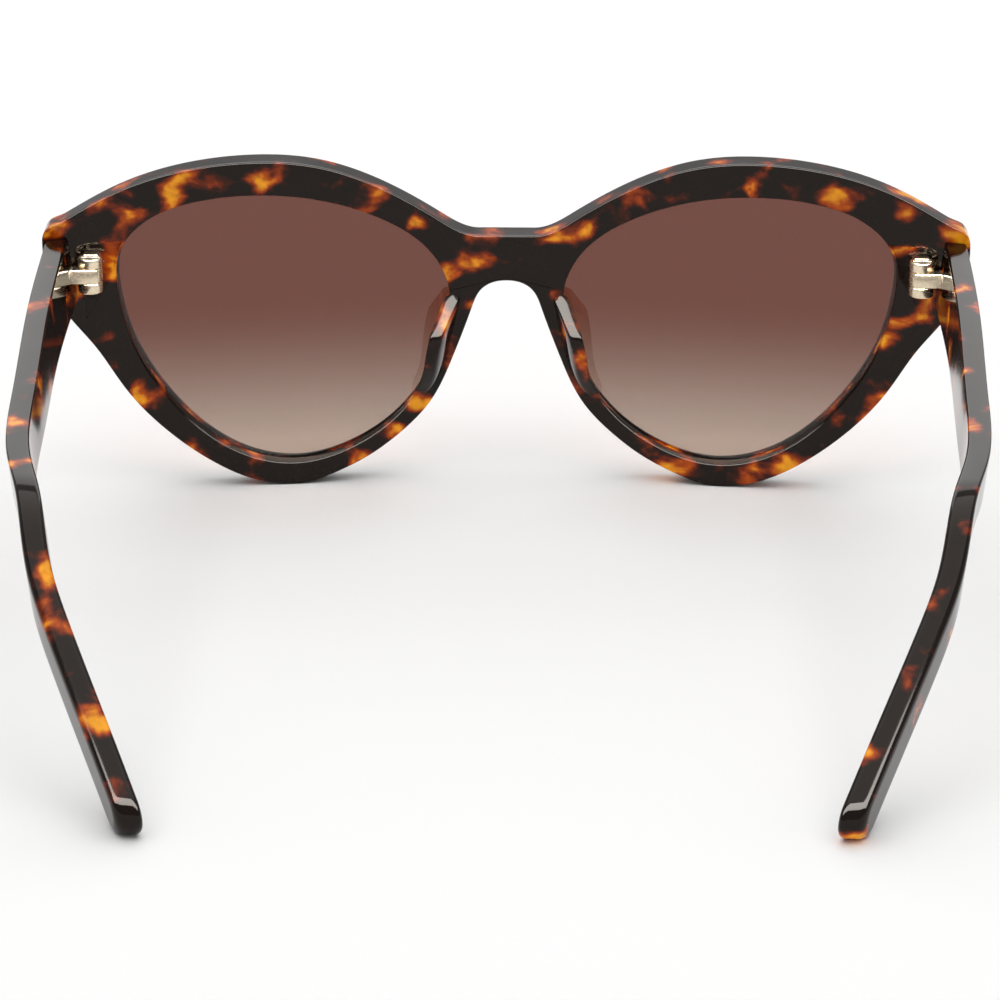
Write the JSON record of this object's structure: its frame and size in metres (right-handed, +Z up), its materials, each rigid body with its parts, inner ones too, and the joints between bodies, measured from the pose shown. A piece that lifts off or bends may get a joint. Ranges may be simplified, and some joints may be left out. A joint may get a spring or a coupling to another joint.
{
  "type": "cat eye sunglasses",
  "caption": "Cat eye sunglasses: a tortoise acetate front with brown gradient lenses and temples that fold flat behind it on barrel hinges.",
  "frame": {"origin": "on the surface that the lower rims and the temple tips stand on, under the middle of the whole, with the temples open", "axes": "+X the wearer's right, +Y the way the wearer looks, +Z up"},
  "size_m": [0.142, 0.1459, 0.0528],
  "materials": {
    "acetate": "polished tortoise acetate, dark brown with amber and orange blotches",
    "lens": "brown gradient sun lens, darker at the top",
    "hinge_metal": "nickel silver, lightly worn",
    "screw_metal": "turned steel",
    "core_metal": "drawn nickel silver strip"
  },
  "bodies": {
    "front": {"front_frame": "acetate", "nose_pad_left": "acetate", "nose_pad_right": "acetate", "lens_left": "lens", "lens_right": "lens", "front_hinge_left": "hinge_metal", "front_hinge_right": "hinge_metal", "hinge_screw_left": "screw_metal", "hinge_screw_right": "screw_metal"},
    "left_temple": {"temple_left": "acetate", "temple_hinge_left": "hinge_metal", "core_wire_left": "core_metal"},
    "right_temple": {"temple_right": "acetate", "temple_hinge_right": "hinge_metal", "core_wire_right": "core_metal"}
  },
  "joints": [
    {"name": "left_temple_fold", "type": "hinge", "parent": "front", "child": "left_temple", "pos_m": [-0.0637, 0.0578, 0.0366], "axis": [0, 0, 1], "range_deg": [0, 84]},
    {"name": "right_temple_fold", "type": "hinge", "parent": "front", "child": "right_temple", "pos_m": [0.0637, 0.0578, 0.0366], "axis": [0, 0, -1], "range_deg": [0, 74]}
  ]
}
